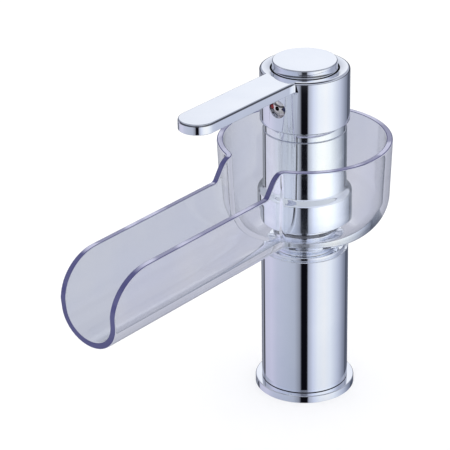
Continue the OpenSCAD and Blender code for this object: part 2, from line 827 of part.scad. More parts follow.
// A cylinder square to the stem's front face, on a line through the middle of the plug
module screw_way(r, length) {
    on_stem() translate([0, -stem_w / 2 - fit, screw_up]) rotate([90, 0, 0]) cylinder(r = r, h = length);
}

// Chromed cap that closes the handle's top, with three pegs
module handle_cap() {
    side = [for (i = [0:arc_steps]) let (a = 90 * i / arc_steps)
        [cap_r + cap_flare * cos(a), handle_top + top_rise / 2 + (cap_rise + top_rise / 2) * sin(a)]];
    color([0.8, 0.81, 0.86]) {
        rotate_extrude() polygon(concat([[0, cap_seat_z], [cap_foot_r, cap_seat_z]], side, [[0, cap_top]]));
        cap_pegs(peg_r, web_z, web_t + run);
    }
}

// Grub screw that clamps the handle on the stem, with a hexagon socket
module grub_screw() {
    color([0.35, 0.35, 0.37])
        difference() {
            screw_way(screw_r, screw_l);
            on_stem() translate([0, -stem_w / 2 - screw_l - over, screw_up]) rotate([-90, 0, 0])
                cylinder(r = screw_r / 2, h = screw_l / 3 + over, $fn = 6);
        }
}

// Index plug in the skirt's front: a domed disc with a centre hole and seats for its two marks
module index_plug() {
    dome_r = (plug_r * plug_r + plug_dome * plug_dome) / (2 * plug_dome);
    dome_a = asin(plug_r / dome_r);
    color([0.75, 0.72, 0.68])
        difference() {
            translate([0, plug_end_y, plug_z]) rotate([90, 0, 0])
                rotate_extrude()
                    polygon(concat([[0, 0], [plug_r, 0]],
                        arc(0, plug_l + plug_dome - dome_r, dome_r, 90 - dome_a, 90)));
            translate([0, plug_face_y + plug_l / 2, plug_z]) rotate([90, 0, 0])
                cylinder(r = plug_hole_r, h = plug_l + plug_dome);
            for (side = [-1, 1]) mark_rod(side, mark_r + film);
        }
}

// The bore of a mark, from inside the plug out past its dome
module mark_rod(side, r) {
    translate([side * mark_x, plug_face_y + plug_l / 3, plug_z]) rotate([90, 0, 0])
        cylinder(r = r, h = plug_l / 3 + plug_dome + over);
}

// A colour mark: a rod ended by a face just proud of the dome
module mark(side) {
    translate([side * mark_x, plug_face_y + plug_l / 3, plug_z]) rotate([90, 0, 0])
        cylinder(r = mark_r, h = plug_l / 3 + plug_dome / 2);
}

module hot_mark() { color([0.75, 0.08, 0.12]) mark(-1); }

module cold_mark() { color([0.1, 0.25, 0.75]) mark(1); }

base_flange();
base_seal();
foot_plate();
lower_body();
hot_tube();
cold_tube();
tube_seals();
lower_gasket();
trough();
upper_gasket();
outlet_ring();
upper_body();
manifold();
port_seals();
cartridge_base();
fixed_disc();
moving_disc();
disc_carrier();
cartridge_housing();
rotor();
rotor_seal();
pivot_pin();
stem();
retaining_nut();
dress_ring();
handle();
handle_cap();
grub_screw();
index_plug();
hot_mark();
cold_mark();
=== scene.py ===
from math import asin, atan2, cos, hypot, pi, radians, sin, sqrt

import bmesh
import bpy
from mathutils import Matrix, Vector


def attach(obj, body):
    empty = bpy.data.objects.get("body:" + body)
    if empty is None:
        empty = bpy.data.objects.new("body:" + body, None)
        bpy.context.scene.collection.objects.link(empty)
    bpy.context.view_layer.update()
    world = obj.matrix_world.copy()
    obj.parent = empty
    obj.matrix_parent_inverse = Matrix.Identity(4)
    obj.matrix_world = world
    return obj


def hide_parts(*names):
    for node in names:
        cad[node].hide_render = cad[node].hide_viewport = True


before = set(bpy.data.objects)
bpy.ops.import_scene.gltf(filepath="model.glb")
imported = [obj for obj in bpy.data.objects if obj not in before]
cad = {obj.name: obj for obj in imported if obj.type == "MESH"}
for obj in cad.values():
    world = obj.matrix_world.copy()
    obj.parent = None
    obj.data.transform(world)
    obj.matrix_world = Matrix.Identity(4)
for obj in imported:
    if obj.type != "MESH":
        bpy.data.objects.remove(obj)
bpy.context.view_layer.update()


# Camera. It looks down on the tap from the front right, from about 1.2 metres away through a long
# lens, as the photograph was taken.
camera_place = (0.650910, -0.843228, 0.605902)
camera_bearing, camera_drop, camera_lean = 39.92, 25.71, -0.92
lens_length, film_width = 179.70, 36
nearest, farthest = 0.05, 40
camera_turn = Matrix.Rotation(radians(camera_bearing), 4, "Z")
camera_tilt = Matrix.Rotation(radians(90 - camera_drop), 4, "X")
camera_roll = Matrix.Rotation(radians(camera_lean), 4, "Z")
bpy.ops.object.select_all(action="DESELECT")
bpy.ops.object.camera_add(location=camera_place)
camera = bpy.context.object
camera.name = "camera"
camera.matrix_world = Matrix.Translation(camera_place) @ camera_turn @ camera_tilt @ camera_roll
camera.data.lens = lens_length
camera.data.sensor_width = film_width
camera.data.clip_start = nearest
camera.data.clip_end = farthest
bpy.context.scene.camera = camera


# Studio. A white floor under soft white light. Only polished metal sees the pale grey panels, the
# dim room at eye level, the dark ceiling over the front and the three narrow black flags, and only
# clear plastic the lilac cloth behind it.
def shade(red, green, blue):
    """A colour as a screen shows it, from 0 to 255, as Blender's own light values."""
    steps = [value / 255 for value in (red, green, blue)]
    return [s / 12.92 if s <= 0.04045 else ((s + 0.055) / 1.055) ** 2.4 for s in steps] + [1.0]


def ramp(tree, stops):
    """A colour ramp whose stops are (place, colour) pairs."""
    band = tree.nodes.new("ShaderNodeValToRGB")
    while len(band.color_ramp.elements) > 1:
        band.color_ramp.elements.remove(band.color_ramp.elements[0])
    band.color_ramp.elements[0].position = stops[0][0]
    band.color_ramp.elements[0].color = stops[0][1]
    for place, colour in stops[1:]:
        band.color_ramp.elements.new(place).color = colour
    return band


def step(tree, operation, first, second=None, third=None):
    """One sum on up to three sockets or numbers, and its result."""
    sum_node = tree.nodes.new("ShaderNodeMath")
    sum_node.operation = operation
    for socket, value in zip(sum_node.inputs, (first, second, third)):
        if isinstance(value, (int, float)):
            socket.default_value = value
        elif value is not None:
            tree.links.new(value, socket)
    return sum_node.outputs[0]


def mixed(tree, share, first, second, blend="MIX"):
    """One colour laid over another by a share, each a socket or a colour."""
    mix = tree.nodes.new("ShaderNodeMix")
    mix.data_type = "RGBA"
    mix.blend_type = blend
    for socket, value in zip((mix.inputs[0], mix.inputs[6], mix.inputs[7]), (share, first, second)):
        if isinstance(value, (int, float, list)):
            socket.default_value = value
        else:
            tree.links.new(value, socket)
    return mix.outputs[2]


def between(tree, value, low, high, start=0.0, end=1.0):
    """A smooth run from start to end while the value goes from low to high."""
    run = tree.nodes.new("ShaderNodeMapRange")
    run.interpolation_type = "SMOOTHSTEP"
    run.inputs["From Min"].default_value = low
    run.inputs["From Max"].default_value = high
    run.inputs["To Min"].default_value = start
    run.inputs["To Max"].default_value = end
    tree.links.new(value, run.inputs["Value"])
    return run.outputs["Result"]


studio = bpy.data.worlds.new("studio")
bpy.context.scene.world = studio
studio.use_nodes = True
room = studio.node_tree
room.nodes.clear()
around = room.nodes.new("ShaderNodeTexCoord")
parts = room.nodes.new("ShaderNodeSeparateXYZ")
room.links.new(around.outputs["Generated"], parts.inputs[0])
left, back, height = parts.outputs[0], parts.outputs[1], parts.outputs[2]
bearing = step(room, "ARCTAN2", left, step(room, "MULTIPLY", back, -1.0))
turn_share = step(room, "MULTIPLY_ADD", bearing, 0.5 / pi, 0.5)


def at(bearing_degrees):
    """A bearing from the tap's front, towards its left side if positive, as a place on a ramp."""
    return (bearing_degrees + 180) / 360


panels = ramp(room, [
    (at(-180), shade(100, 106, 122)),
    (at(-150), shade(112, 116, 128)),
    (at(-112), shade(142, 145, 156)),
    (at(-90), shade(206, 206, 224)),
    (at(-62), shade(212, 211, 230)),
    (at(-40), shade(198, 202, 219)),
    (at(-8), shade(191, 197, 212)),
    (at(11), shade(185, 191, 205)),
    (at(24), shade(152, 156, 168)),
    (at(48), shade(180, 184, 197)),
    (at(60), shade(222, 228, 244)),
    (at(74), shade(247, 251, 255)),
    (at(92), shade(254, 255, 255)),
    (at(110), shade(244, 249, 255)),
    (at(138), shade(200, 206, 222)),
    (at(160), shade(150, 156, 173)),
    (at(180), shade(100, 106, 122)),
])
room.links.new(turn_share, panels.inputs[0])
clear, half_black, black = [0, 0, 0, 1], [0.6, 0.6, 0.6, 1], [1, 1, 1, 1]
flags = ramp(room, [
    (at(-179.5), half_black), (at(-173), clear),
    (at(-106), clear), (at(-102), black), (at(-98), black), (at(-93), clear),
    (at(24.5), clear), (at(29.5), black), (at(44.5), black), (at(47.5), clear),
    (at(174), clear), (at(179.5), half_black),
])
room.links.new(turn_share, flags.inputs[0])

# The studio's front lies 38 degrees to the tap's left. Each pair below says where one part of the
# room starts and ends its fade into the next, as a height or as a share of the way to the front.
front_left, front_ahead = 0.61, 0.79
front_fade, aside_fade = (-0.5, 0.1), (0.01, 0.24)
eye_foot_fade, eye_top_fade = (-0.2, -0.06), (0.13, 0.27)
flag_foot_fade, flag_top_fade = (-0.4, -0.2), (0.1, 0.3)
floor_fade, low_fade = (-0.8, -0.6), (-0.56, -0.38)
ceiling_fade, ceiling_front_fade = (0.6, 0.8), (-0.34, -0.12)
cloth_fade = (-0.9, 0.3)
forward = step(room, "MULTIPLY_ADD", back, -front_ahead, step(room, "MULTIPLY", left, front_left))
across = step(room, "MULTIPLY_ADD", back, front_left, step(room, "MULTIPLY", left, front_ahead))
front_side = between(room, forward, *front_fade)
aside = between(room, step(room, "ABSOLUTE", across), *aside_fade)
ray = room.nodes.new("ShaderNodeLightPath")
went_through = step(room, "GREATER_THAN", ray.outputs["Transmission Depth"], 0.5)
two_walls = step(room, "GREATER_THAN", ray.outputs["Transmission Depth"], 2.5)
mirrored = step(room, "GREATER_THAN", ray.outputs["Glossy Depth"], 0.5)
mirrored_twice = step(room, "GREATER_THAN", ray.outputs["Glossy Depth"], 1.5)
scattered = step(room, "GREATER_THAN", ray.outputs["Diffuse Depth"], 0.5)
over_eye = between(room, height, *eye_top_fade)
eye_band = step(room, "MULTIPLY", between(room, height, *eye_foot_fade),
                step(room, "SUBTRACT", 1.0, over_eye))
flag_reach = step(room, "MAXIMUM", between(room, height, *flag_top_fade, 1, 0),
                  step(room, "MULTIPLY", mirrored_twice, 0.9))
flag_reach = step(room, "MULTIPLY", flag_reach, between(room, height, *flag_foot_fade, 1, 0.62))
flag_share = step(room, "MULTIPLY", flags.outputs[0], flag_reach)
low_light = mixed(room, between(room, height, *low_fade), shade(231, 233, 238), [1, 1, 1, 1])
lit_panels = mixed(room, 1.0, panels.outputs[0], low_light, "MULTIPLY")
ground = mixed(room, between(room, height, *floor_fade), shade(156, 160, 176), lit_panels)
back_sky = mixed(room, aside, shade(246, 249, 255), shade(172, 176, 190))
front_sky = mixed(room, mirrored_twice, shade(206, 211, 224), panels.outputs[0])
sky = mixed(room, over_eye, ground, mixed(room, front_side, back_sky, front_sky))
ceiling = mixed(room, mirrored_twice, shade(30, 31, 40), shade(176, 180, 192))
ceiling = mixed(room, went_through, ceiling, shade(196, 201, 214))
ceiling_share = step(room, "MULTIPLY", between(room, height, *ceiling_fade),
                     between(room, forward, *ceiling_front_fade))
under_ceiling = mixed(room, ceiling_share, sky, ceiling)
lift = mixed(room, two_walls, [1.18, 1.18, 1.06, 1], [1.42, 1.42, 1.28, 1])
lifted = mixed(room, went_through, under_ceiling, lift, "MULTIPLY")
dimness = step(room, "MULTIPLY_ADD", went_through, -0.56, 0.88)
gloom = mixed(room, step(room, "MULTIPLY", eye_band, dimness), lifted, shade(28, 29, 38))
polished = mixed(room, flag_share, gloom, shade(12, 12, 17))
cloth = mixed(room, between(room, height, *cloth_fade), shade(191, 196, 206), shade(198, 198, 212))
cloth = mixed(room, two_walls, cloth, shade(202, 203, 211))
seen = mixed(room, went_through, [1, 1, 1, 1], cloth)
seen = mixed(room, mirrored, seen, polished)
seen = mixed(room, scattered, seen, [1.2, 1.2, 1.21, 1])
sky_light = room.nodes.new("ShaderNodeBackground")
room.links.new(seen, sky_light.inputs["Color"])
sky_out = room.nodes.new("ShaderNodeOutputWorld")
room.links.new(sky_light.outputs[0], sky_out.inputs["Surface"])
bpy.context.scene.view_settings.view_transform = "Standard"

floor_size = 9
bpy.ops.object.select_all(action="DESELECT")
bpy.ops.mesh.primitive_plane_add(size=floor_size, location=(0, 0, 0))
floor = bpy.context.object
floor.name = "floor"
floor_paint = bpy.data.materials.new("floor_paint")
floor_paint.use_nodes = True
floor_shader = floor_paint.node_tree.nodes["Principled BSDF"]
floor_shader.inputs["Base Color"].default_value = (0.95, 0.95, 0.955, 1)
floor_shader.inputs["Roughness"].default_value = 0.9
floor_shader.inputs["Specular IOR Level"].default_value = 0.0
floor.data.materials.append(floor_paint)
floor.visible_glossy = False
floor.visible_transmission = False


# Base flange. A turned brass ring, chromed, that stands on the deck. Its top has a small round
# edge, its bore takes the lower body's spigot and its underside the rubber ring.
mm = 0.001
foot_bore, foot_step = 20.6, 1.5
flange_bore, flange_r, flange_high = 21.85, 26.5, 4.1
groove_in, groove_out, groove_deep = 22.95, 25.45, 1.6


def settle(group, name, kind, side, value=None):
    """A named socket on a shared effect."""
    socket = group.interface.new_socket(name=name, in_out=side, socket_type=kind)
    if value is not None:
        socket.default_value = value
    return socket


polish = bpy.data.node_groups.new("polish", "ShaderNodeTree")
settle(polish, "Roughness", "NodeSocketFloat", "INPUT", 0.04)
settle(polish, "Spread", "NodeSocketFloat", "INPUT", 0.02)
settle(polish, "Grain", "NodeSocketFloat", "INPUT", 900.0)
settle(polish, "Depth", "NodeSocketFloat", "INPUT", 0.02)
settle(polish, "Roughness", "NodeSocketFloat", "OUTPUT")
settle(polish, "Cloud", "NodeSocketFloat", "OUTPUT")
settle(polish, "Normal", "NodeSocketVector", "OUTPUT")
polish_in = polish.nodes.new("NodeGroupInput")
polish_out = polish.nodes.new("NodeGroupOutput")
polish_place = polish.nodes.new("ShaderNodeTexCoord")
cloud = polish.nodes.new("ShaderNodeTexNoise")
cloud.inputs["Scale"].default_value = 34.0
cloud.inputs["Detail"].default_value = 3.0
polish.links.new(polish_place.outputs["Object"], cloud.inputs["Vector"])
cloud_share = between(polish, cloud.outputs["Fac"], 0.3, 0.7)
spread_here = step(polish, "MULTIPLY", cloud_share, polish_in.outputs["Spread"])
rough_here = step(polish, "ADD", spread_here, polish_in.outputs["Roughness"])
polish.links.new(rough_here, polish_out.inputs["Roughness"])
polish.links.new(cloud_share, polish_out.inputs["Cloud"])
grain = polish.nodes.new("ShaderNodeTexNoise")
grain.inputs["Detail"].default_value = 2.0
polish.links.new(polish_place.outputs["Object"], grain.inputs["Vector"])
polish.links.new(polish_in.outputs["Grain"], grain.inputs["Scale"])
swell = polish.nodes.new("ShaderNodeBump")
swell.inputs["Distance"].default_value = 0.0002
polish.links.new(grain.outputs["Fac"], swell.inputs["Height"])
polish.links.new(polish_in.outputs["Depth"], swell.inputs["Strength"])
polish.links.new(swell.outputs["Normal"], polish_out.inputs["Normal"])


def finish(name, bright, dull, metallic, rough, spread, grain, depth, **plain):
    """A material whose colour drifts from bright to dull and whose gloss and grain vary with it."""
    material = bpy.data.materials.new(name)
    material.use_nodes = True
    tree = material.node_tree
    shader = tree.nodes["Principled BSDF"]
    surface = tree.nodes.new("ShaderNodeGroup")
    surface.node_tree = polish
    surface.inputs["Roughness"].default_value = rough
    surface.inputs["Spread"].default_value = spread
    surface.inputs["Grain"].default_value = grain
    surface.inputs["Depth"].default_value = depth
    tree.links.new(mixed(tree, surface.outputs["Cloud"], bright, dull), shader.inputs["Base Color"])
    tree.links.new(surface.outputs["Roughness"], shader.inputs["Roughness"])
    tree.links.new(surface.outputs["Normal"], shader.inputs["Normal"])
    shader.inputs["Metallic"].default_value = metallic
    for socket, value in plain.items():
        shader.inputs[socket.replace("_", " ")].default_value = value
    return material


def turned(name, outline, sides=144, edge=0, bored=True):
    """Turns an outline of (radius, height) corners, in mm, about the tap's axis, as on a lathe."""
    radius, level = outline[0]
    bpy.ops.object.select_all(action="DESELECT")
    bpy.ops.mesh.primitive_circle_add(vertices=sides, radius=radius * mm, location=(0, 0, level * mm))
    piece = bpy.context.object
    piece.name = name
    bpy.ops.object.transform_apply(location=True, rotation=True, scale=True)
    bpy.ops.object.mode_set(mode="EDIT")
    bpy.ops.mesh.select_mode(type="EDGE")
    bpy.ops.mesh.select_all(action="SELECT")
    if not bored:
        bpy.ops.mesh.edge_face_add()
    for next_radius, next_level in outline[1:]:
        bpy.ops.mesh.extrude_edges_move(
            TRANSFORM_OT_translate={"value": (0, 0, (next_level - level) * mm)})
        share = next_radius / radius
        bpy.ops.transform.resize(value=(share, share, 1), center_override=(0, 0, next_level * mm))
        radius, level = next_radius, next_level
    if bored:
        bpy.ops.mesh.select_all(action="DESELECT")
        bpy.ops.mesh.select_non_manifold(use_wire=False, use_multi_face=False, use_non_contiguous=False,
                                         use_verts=False)
        bpy.ops.mesh.bridge_edge_loops()
    else:
        bpy.ops.mesh.edge_face_add()
    bpy.ops.mesh.select_all(action="SELECT")
    bpy.ops.mesh.normals_make_consistent(inside=False)
    bpy.ops.object.mode_set(mode="OBJECT")
    if edge:
        rounded(piece, edge)
    return smoothed(piece)


def rounded(piece, edge, sharpest=30):
    """Rounds every sharp edge of a piece by the same small amount, in mm."""
    bpy.context.view_layer.objects.active = piece
    bpy.ops.object.mode_set(mode="EDIT")
    bpy.ops.mesh.select_mode(type="EDGE")
    bpy.ops.mesh.select_all(action="DESELECT")
    bpy.ops.mesh.edges_select_sharp(sharpness=radians(sharpest))
    bpy.ops.mesh.bevel(offset=edge * mm, segments=3, affect="EDGES")
    bpy.ops.object.mode_set(mode="OBJECT")


def smoothed(piece, angle=42):
    """Smooth over the piece's curves, and flat over its faces between rounded edges."""
    bpy.ops.object.select_all(action="DESELECT")
    piece.select_set(True)
    bpy.context.view_layer.objects.active = piece
    bpy.ops.object.shade_smooth_by_angle(angle=radians(angle))
    bpy.ops.object.modifier_add(type="WEIGHTED_NORMAL")
    piece.modifiers[-1].keep_sharp = True
    bpy.ops.object.modifier_apply(modifier=piece.modifiers[-1].name)
    return piece


def placed(piece, material, body, slot, *nodes):
    """Its finish, the body it moves with, and the CAD nodes it stands for."""
    piece.data.materials.append(material)
    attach(piece, body)
    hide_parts(*nodes)
    return piece


chrome = finish("chrome", shade(246, 248, 253), shade(240, 243, 250), metallic=1.0, rough=0.025,
                spread=0.02, grain=260.0, depth=0.02)
base_flange = turned("base_flange", [
    (foot_bore, 0), (foot_bore, foot_step), (flange_bore, foot_step), (flange_bore, flange_high),
    (flange_r - 0.5, flange_high), (flange_r - 0.15, flange_high - 0.15), (flange_r, flange_high - 0.5),
    (flange_r, 0), (groove_out, 0), (groove_out, groove_deep), (groove_in, groove_deep),
    (groove_in, 0)], edge=0.12)
placed(base_flange, chrome, "body", "chrome", "base_flange")


# Base seal and foot plate. A black rubber ring lies in the flange's underside. A brass plate in
# the foot holds the two studs, the two inlets and the sockets of the supply tubes.
seal_in, seal_out = 22.975, 25.375


def dressed(material, *names):
    """A finish on pieces that the CAD already shapes as they are."""
    for name in names:
        cad[name].data.materials.clear()
        cad[name].data.materials.append(material)


rubber = finish("rubber", shade(44, 44, 47), shade(30, 30, 33), metallic=0.0, rough=0.5, spread=0.2,
                grain=900.0, depth=0.3)
base_seal = turned("base_seal", [
    (seal_in, 0), (seal_out, 0), (seal_out, groove_deep), (seal_in, groove_deep)], edge=0.2)
placed(base_seal, rubber, "body", "rubber", "base_seal")
brass = finish("brass", shade(214, 184, 118), shade(184, 150, 86), metallic=1.0, rough=0.22,
               spread=0.14, grain=420.0, depth=0.1)
dressed(brass, "foot_plate")


# Lower body. A chromed brass tube with a roof, a stepped neck, the round seat that carries the
# trough and the hub that comes up through it. All of it is turned from one bar, and the thin joint
# line where it meets the flange is painted dark as painted shade.
spigot_r, body_r, body_top, roof_low = 21.8, 23, 81.8, 77.8
joint_r, joint_top = 22.6, 4.3
ledge_r, ledge_top, neck_r = 21.5, 83.7, 15
seat_r, seat_low, seat_z = 18, 87.4, 89.4
hub_r, hub_top, water_bore = 12.9, 104, 11.6


def faced(piece, material, chosen):
    """A second finish on the faces whose middle, in mm, is chosen."""
    piece.data.materials.append(material)
    for face in piece.data.polygons:
        if chosen(face.center / mm):
            face.material_index = len(piece.data.materials) - 1


lower_body = turned("lower_body", [
    (foot_bore, foot_step), (spigot_r, foot_step), (spigot_r, flange_high), (joint_r, flange_high),
    (joint_r, joint_top), (body_r, joint_top + 0.1),
    (body_r, body_top - 0.4), (body_r - 0.07, body_top - 0.18), (body_r - 0.23, body_top - 0.05),
    (body_r - 0.5, body_top), (ledge_r, body_top),
    (ledge_r, ledge_top - 0.3), (ledge_r - 0.08, ledge_top - 0.1), (ledge_r - 0.3, ledge_top),
    (neck_r + 1.6, ledge_top), (neck_r + 0.7, ledge_top + 0.25), (neck_r + 0.15, ledge_top + 0.8),
    (neck_r, ledge_top + 1.5),
    (neck_r, seat_low - 1.4), (neck_r + 0.15, seat_low - 0.7), (neck_r + 0.7, seat_low - 0.2),
    (neck_r + 1.5, seat_low),
    (seat_r - 0.3, seat_low), (seat_r - 0.08, seat_low + 0.1), (seat_r, seat_low + 0.35),
    (seat_r, seat_z - 0.2), (seat_r - 0.2, seat_z),
    (hub_r, seat_z), (hub_r, hub_top), (water_bore, hub_top), (water_bore, roof_low),
    (foot_bore, roof_low)], edge=0.12)
placed(lower_body, chrome, "body", "chrome", "lower_body")
# A dark dull metal finish that paints the shade in grooves: the joint at the flange, the wall of the handle's
# groove and the cap's foot.
painted_groove_shade = finish("painted_groove_shade", shade(46, 46, 50), shade(34, 34, 38), metallic=0.4, rough=0.6,
                   spread=0.1, grain=700.0, depth=0.1)
# The joint line at the flange is painted dark as painted shade.
faced(lower_body, painted_groove_shade, lambda middle: (
    joint_r - 0.3 < middle.xy.length < body_r - 0.02
    and flange_high - 0.05 < middle.z < joint_top + 0.15))


# Supply tubes. Two drawn copper tubes rise from the foot plate through the body to the manifold,
# with a rubber ring seal at each end.
copper = finish("copper", shade(206, 136, 102), shade(160, 96, 70), metallic=1.0, rough=0.2,
                spread=0.16, grain=240.0, depth=0.06)
dressed(copper, "hot_tube", "cold_tube")
dressed(rubber, "tube_seals")


# Lower gasket. A soft clear rubber ring between the body's seat and the trough's floor, pressed
# flat when the trough is clamped down on the hub.
hub_hole, gasket_r, trough_z = 13.1, 17.5, 91.0
clear_rubber = finish("clear_rubber", shade(160, 163, 169), shade(146, 149, 156), metallic=0.0,
                      rough=0.3, spread=0.12, grain=700.0, depth=0.08, Transmission_Weight=0.5, IOR=1.41)
lower_gasket = turned("lower_gasket", [
    (hub_hole, seat_z), (gasket_r, seat_z), (gasket_r, trough_z), (hub_hole, trough_z)], edge=0.3)
placed(lower_gasket, clear_rubber, "body", "clear_rubber", "lower_gasket")


# Trough. One clear moulding: a bowl round the upper body that opens into a long round-bottomed
# channel. Its rim falls in a smooth curve from the bowl to the channel, whose tip is cut round.
bowl_r, bowl_side, bowl_flat, bowl_corner = 45.5, 44.3, 22.3, 22.0
bowl_rim, channel_rim, trough_wall = 142.9, 132.0, 3.4
channel_r, channel_half, channel_centre = 17.2, 18.3, 108.2
tip_y, tip_long, tip_low, tip_high, tip_foot = -143.2, 24.2, 111.4, 20.6, -165.8
crest_y, crest_r, foot_r, fall_slope, fall_y = -40.0, 10.0, 3.0, radians(54), -54.54
corner_r, rim_start, rim_round, clear_index = 2.0, -43.7, 0.75, 1.49
bowl_columns, corner_columns, tip_columns, straight_columns = 60, 7, 16, 30
crest_columns, foot_columns, low_rows = 9, 5, 18
wall_shares = (0.05, 0.1, 0.14, 0.3, 0.5, 0.7, 0.9, 1.0)
merge_gap = 0.02


def bowl_at(level):
    """The bowl's outer radius at a height."""
    if level < trough_z + bowl_corner:
        return bowl_flat + sqrt(max(0, bowl_corner ** 2 - (trough_z + bowl_corner - level) ** 2))
    share = (level - trough_z - bowl_corner) / (bowl_rim - trough_z - bowl_corner)
    return bowl_side + share * (bowl_r - bowl_side)


def channel_at(level):
    """Half the channel's outer width at a height."""
    if level < channel_centre:
        return sqrt(max(0, channel_r ** 2 - (channel_centre - level) ** 2))
    share = (level - channel_centre) / (channel_rim - channel_centre)
    return channel_r + min(1, share) * (channel_half - channel_r)


def corner_at(level):
    """The middle of the small round between bowl and channel at a height."""
    aside = channel_at(level) + corner_r
    return aside, -sqrt((bowl_at(level) + corner_r) ** 2 - aside ** 2)


def tip_at(level):
    """The channel's end below the round of its tip."""
    return tip_foot + (tip_y - tip_long - tip_foot) * (level - trough_z) / (tip_low - trough_z)


rim_line = []
for i in range(1, crest_columns + 1):
    bend = fall_slope * i / crest_columns
    rim_line.append((crest_y - crest_r * sin(bend), bowl_rim - crest_r * (1 - cos(bend))))
rim_line = [point for point in rim_line if point[0] < rim_start]
for i in range(foot_columns + 1):
    bend = fall_slope * (1 - i / foot_columns)
    rim_line.append((fall_y + foot_r * sin(bend), channel_rim + foot_r * (1 - cos(bend))))
for i in range(1, straight_columns + 1):
    rim_line.append((fall_y + (tip_y - fall_y) * i / straight_columns, channel_rim))
for i in range(1, tip_columns + 1):
    bend = pi / 2 * i / tip_columns
    rim_line.append((tip_y - tip_long * sin(bend), tip_low + tip_high * cos(bend)))
low_line = [point[0] for point in rim_line[:-tip_columns]]
low_line += [tip_y - tip_long * i / tip_columns for i in range(1, tip_columns + 1)]


def rim_at(forward):
    """The rim's height over the crest of the fall."""
    if forward > crest_y:
        return bowl_rim
    return bowl_rim - crest_r + sqrt(crest_r ** 2 - (crest_y - forward) ** 2)


def outline_at(level=None, share=None):
    """Half the trough's outline, from its back to its tip, at a height or a share of the wall."""
    points = []
    wall = level if share is None else channel_centre + share * (bowl_rim - channel_centre)
    corner_x, corner_y = corner_at(wall)
    reach = atan2(corner_x, -corner_y)
    for i in range(bowl_columns + corner_columns):
        if i < bowl_columns:
            bend = pi - (pi - reach) * i / bowl_columns
            x, y = bowl_at(wall) * sin(bend), -bowl_at(wall) * cos(bend)
        else:
            bend = reach + (i - bowl_columns) / (corner_columns - 1) * (pi / 2 - reach)
            x, y = corner_x - corner_r * sin(bend), corner_y + corner_r * cos(bend)
        z = wall if share is None else wall + share * (rim_at(y) - bowl_rim)
        points.append((x, y, z))
    start = low_line[0]
    if share is None:
        start += corner_y - corner_at(channel_centre)[1]
    for low, (rim_y, rim_z) in zip(low_line, rim_line):
        run_share = (low - low_line[0]) / (low_line[-1] - low_line[0])
        if share is None:
            points.append((channel_at(level), start + (tip_at(level) - start) * run_share, level))
        else:
            base = start + (tip_at(channel_centre) - start) * run_share
            z = channel_centre + share * (rim_z - channel_centre)
            points.append((channel_at(z), base + share * (rim_y - base), z))
    return points


def picked(piece, chosen):
    """Selects, in edit mode, the edges whose two ends, in mm, are chosen."""
    bpy.ops.mesh.select_mode(type="EDGE")
    bpy.ops.mesh.select_all(action="DESELECT")
    skin = bmesh.from_edit_mesh(piece.data)
    for edge in skin.edges:
        edge.select_set(chosen([vertex.co / mm for vertex in edge.verts]))
    bmesh.update_edit_mesh(piece.data)


levels = [trough_z + channel_r * (1 - cos(pi / 2 * i / low_rows)) for i in range(low_rows + 1)]
rows = [outline_at(level=level) for level in levels]
rows += [outline_at(share=share) for share in wall_shares]
clear_plastic = finish("clear_plastic", shade(253, 253, 255), shade(248, 249, 255), metallic=0.0,
                       rough=0.01, spread=0.02, grain=60.0, depth=0.04,
                       Transmission_Weight=1.0, IOR=clear_index)
clear_tree = clear_plastic.node_tree
clear_depth = clear_tree.nodes.new("ShaderNodeVolumeAbsorption")
clear_depth.inputs["Color"].default_value = (0.30, 0.30, 0.62, 1)
clear_depth.inputs["Density"].default_value = 7.0
clear_tree.links.new(clear_depth.outputs[0], clear_tree.nodes["Material Output"].inputs["Volume"])
clear_mirror = clear_tree.nodes.new("ShaderNodeFresnel")
clear_mirror.inputs["IOR"].default_value = clear_index
full_mirror = step(clear_tree, "GREATER_THAN", clear_mirror.outputs[0], 0.97)
clear_side = clear_tree.nodes.new("ShaderNodeNewGeometry")
inner_mirror = step(clear_tree, "MULTIPLY", full_mirror, clear_side.outputs["Backfacing"])
clear_tree.links.new(step(clear_tree, "SUBTRACT", 1.0, inner_mirror),
                     clear_tree.nodes["Principled BSDF"].inputs["Alpha"])
# The rims are painted an opaque violet as painted light: it stands for the light piped along the clear wall
# that comes out at its cut edges. Seen in reflections the rim is painted a paler grey instead.
painted_edge_light = finish("painted_edge_light", shade(80, 80, 124), shade(70, 70, 113), metallic=0.0, rough=0.12,
                  spread=0.1, grain=300.0, depth=0.03)
cut_tree = painted_edge_light.node_tree
cut_colour = cut_tree.nodes["Principled BSDF"].inputs["Base Color"]
cut_ray = cut_tree.nodes.new("ShaderNodeLightPath")
painted_edge_violet = mixed(cut_tree, cut_ray.outputs["Is Glossy Ray"], cut_colour.links[0].from_socket,
                   shade(146, 148, 166))
cut_side = cut_tree.nodes.new("ShaderNodeNewGeometry")
cut_slope = cut_tree.nodes.new("ShaderNodeSeparateXYZ")
cut_tree.links.new(cut_side.outputs["Normal"], cut_slope.inputs[0])
cut_place = cut_tree.nodes.new("ShaderNodeTexCoord")
highlight_cloud = cut_tree.nodes.new("ShaderNodeTexNoise")
highlight_cloud.inputs["Scale"].default_value = 48.0
highlight_cloud.inputs["Detail"].default_value = 1.0
cut_tree.links.new(cut_place.outputs["Object"], highlight_cloud.inputs["Vector"])
